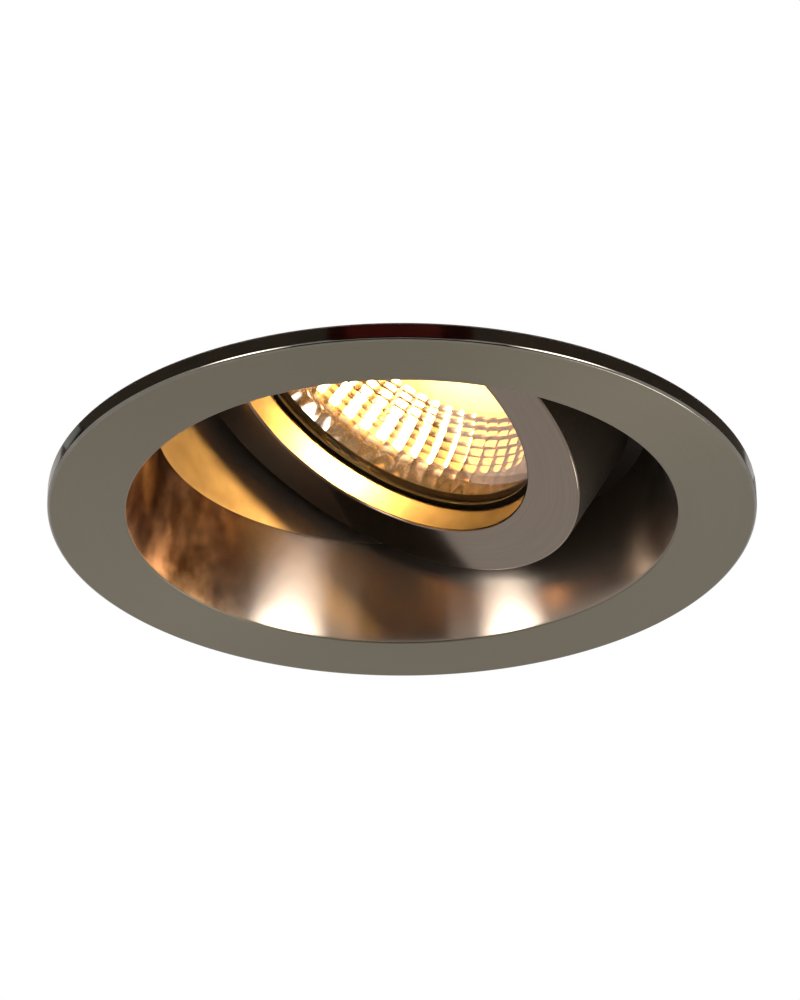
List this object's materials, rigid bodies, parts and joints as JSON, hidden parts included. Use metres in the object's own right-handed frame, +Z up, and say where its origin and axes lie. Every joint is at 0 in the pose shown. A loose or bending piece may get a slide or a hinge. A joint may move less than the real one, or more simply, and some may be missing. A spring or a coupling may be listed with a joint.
{
  "type": "recessed spotlight",
  "caption": "Round recessed ceiling downlight: a flat brushed flange, a polished cone, a lamp ring that tilts on side screws, and sprung clips that grip the ceiling board.",
  "frame": {"origin": "centre of the flange's back, on the ceiling's underside", "axes": "+Z up into the ceiling along the trim's axis, +Y along the tilt axis, the beam leans to -X at rest"},
  "size_m": [0.1238, 0.096, 0.0845],
  "materials": {
    "trim_gunmetal": "brushed face, polished cone, gunmetal plated",
    "ring_gunmetal": "brushed, gunmetal plated",
    "bezel_black": "moulded, satin",
    "lens_clear": "clear",
    "reflector_bright": "vacuum metallised facets",
    "board_white": "solder mask",
    "led_warm": "phosphor",
    "housing_grey": "moulded",
    "board_green": "solder mask",
    "cap_white": "moulded",
    "pin_nickel": "nickel plated",
    "holder_ceramic": "unglazed steatite",
    "contact_brass": "plain",
    "screw_steel": "zinc plated",
    "spring_steel": "drawn wire and sheet",
    "clip_zinc": "zinc plated sheet",
    "pad_black": "moulded",
    "nylon": "natural",
    "rivet_aluminium": "plain"
  },
  "bodies": {
    "trim": {"trim_ring": "trim_gunmetal", "clip_bracket_left": "clip_zinc", "clip_bracket_right": "clip_zinc", "bracket_rivets": "rivet_aluminium", "clip_pin_left": "screw_steel", "clip_pin_right": "screw_steel", "clip_spring_left": "spring_steel", "clip_spring_right": "spring_steel"},
    "head": {"tilt_ring": "ring_gunmetal", "pivot_screws": "screw_steel", "wave_washers": "spring_steel", "friction_washers": "nylon", "lamp_circlip": "spring_steel", "lamp_bezel": "bezel_black", "lamp_lens": "lens_clear", "lamp_reflector": "reflector_bright", "led_board": "board_white", "led_emitter": "led_warm", "lamp_housing": "housing_grey", "driver_board": "board_green", "lamp_cap": "cap_white", "lamp_pins": "pin_nickel", "lampholder_face": "holder_ceramic", "lampholder_body": "holder_ceramic", "lampholder_contacts": "contact_brass", "lampholder_screws": "screw_steel"},
    "clip_left": {"clip_arm_left": "clip_zinc", "clip_pad_left": "pad_black"},
    "clip_right": {"clip_arm_right": "clip_zinc", "clip_pad_right": "pad_black"}
  },
  "joints": [
    {"name": "head_tilt", "type": "hinge", "parent": "trim", "child": "head", "pos_m": [0, 0, 0.0205], "axis": [0, 1, 0], "range_deg": [-60, 0]},
    {"name": "clip_left_swing", "type": "hinge", "parent": "trim", "child": "clip_left", "pos_m": [-0.03866, 0, 0.0156], "axis": [0, 1, 0], "range_deg": [0, 110], "stiffness_Nm_per_rad": 0.02, "springref_deg": -45.84, "deforming": ["clip_spring_left"]},
    {"name": "clip_right_swing", "type": "hinge", "parent": "trim", "child": "clip_right", "pos_m": [0.03866, 0, 0.0156], "axis": [0, -1, 0], "range_deg": [0, 110], "stiffness_Nm_per_rad": 0.02, "springref_deg": -45.84, "deforming": ["clip_spring_right"]}
  ]
}
